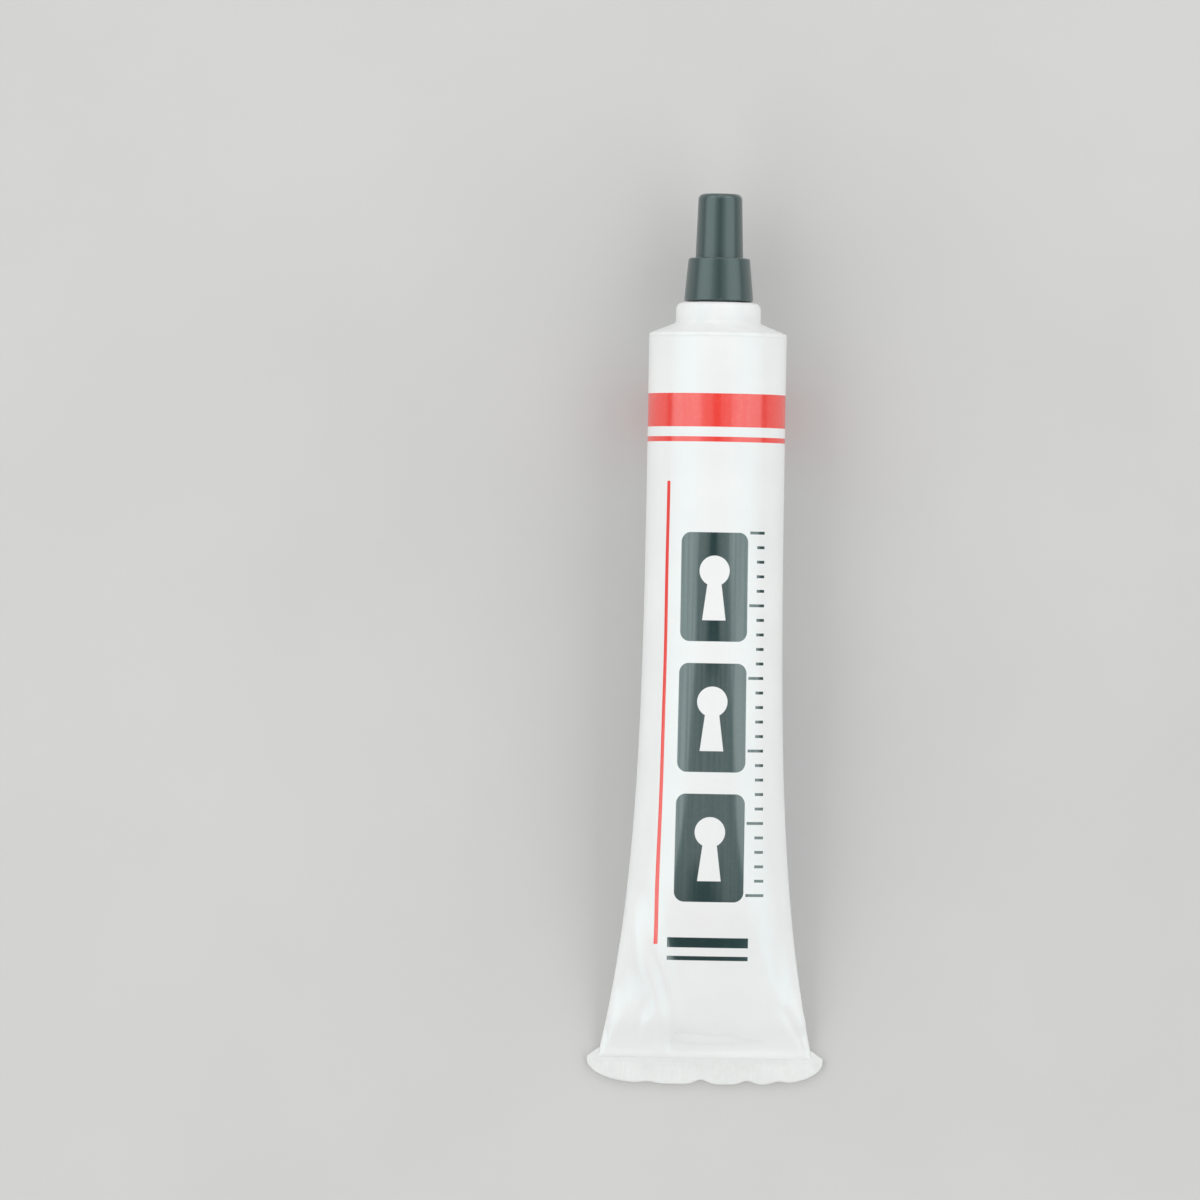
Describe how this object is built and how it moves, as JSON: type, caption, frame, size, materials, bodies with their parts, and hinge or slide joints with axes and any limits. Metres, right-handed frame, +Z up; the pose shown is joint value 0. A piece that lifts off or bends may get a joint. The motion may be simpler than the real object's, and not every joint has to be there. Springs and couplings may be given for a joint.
{
  "type": "graphite lock lubricant tube",
  "caption": "Soft white squeeze tube with a flat fused tail, a threaded head with a slim nozzle and a tall black screw cap, for puffing dry graphite powder into locks.",
  "frame": {"origin": "bottom centre of the closed tube as it lies on its back", "axes": "+Y along the tube towards the cap, +X across the flat tail, +Z up from the surface it lies on"},
  "size_m": [0.0328, 0.1236, 0.019],
  "materials": {
    "sleeve_white": "gloss",
    "head_white": "satin",
    "cap_black": "satin",
    "wad_foam": "matte",
    "graphite_powder": "matte"
  },
  "bodies": {
    "tube": {"sleeve": "sleeve_white", "head": "head_white", "graphite_charge": "graphite_powder"},
    "wad": {"sealing_wad": "wad_foam"},
    "screw_cap": {"cap": "cap_black"}
  },
  "joints": [
    {"name": "cap_lift", "type": "slide", "parent": "tube", "child": "wad", "axis": [0, 1, 0], "range_m": [0, 0.015]},
    {"name": "cap_turn", "type": "hinge", "parent": "wad", "child": "screw_cap", "pos_m": [0, 0.0469, 0.0095], "axis": [0, 1, 0], "range_deg": [0, 3600]}
  ],
  "couplings": [
    {"joint": "cap_turn", "follows": "cap_lift", "rad_per_m": 4188.8}
  ]
}
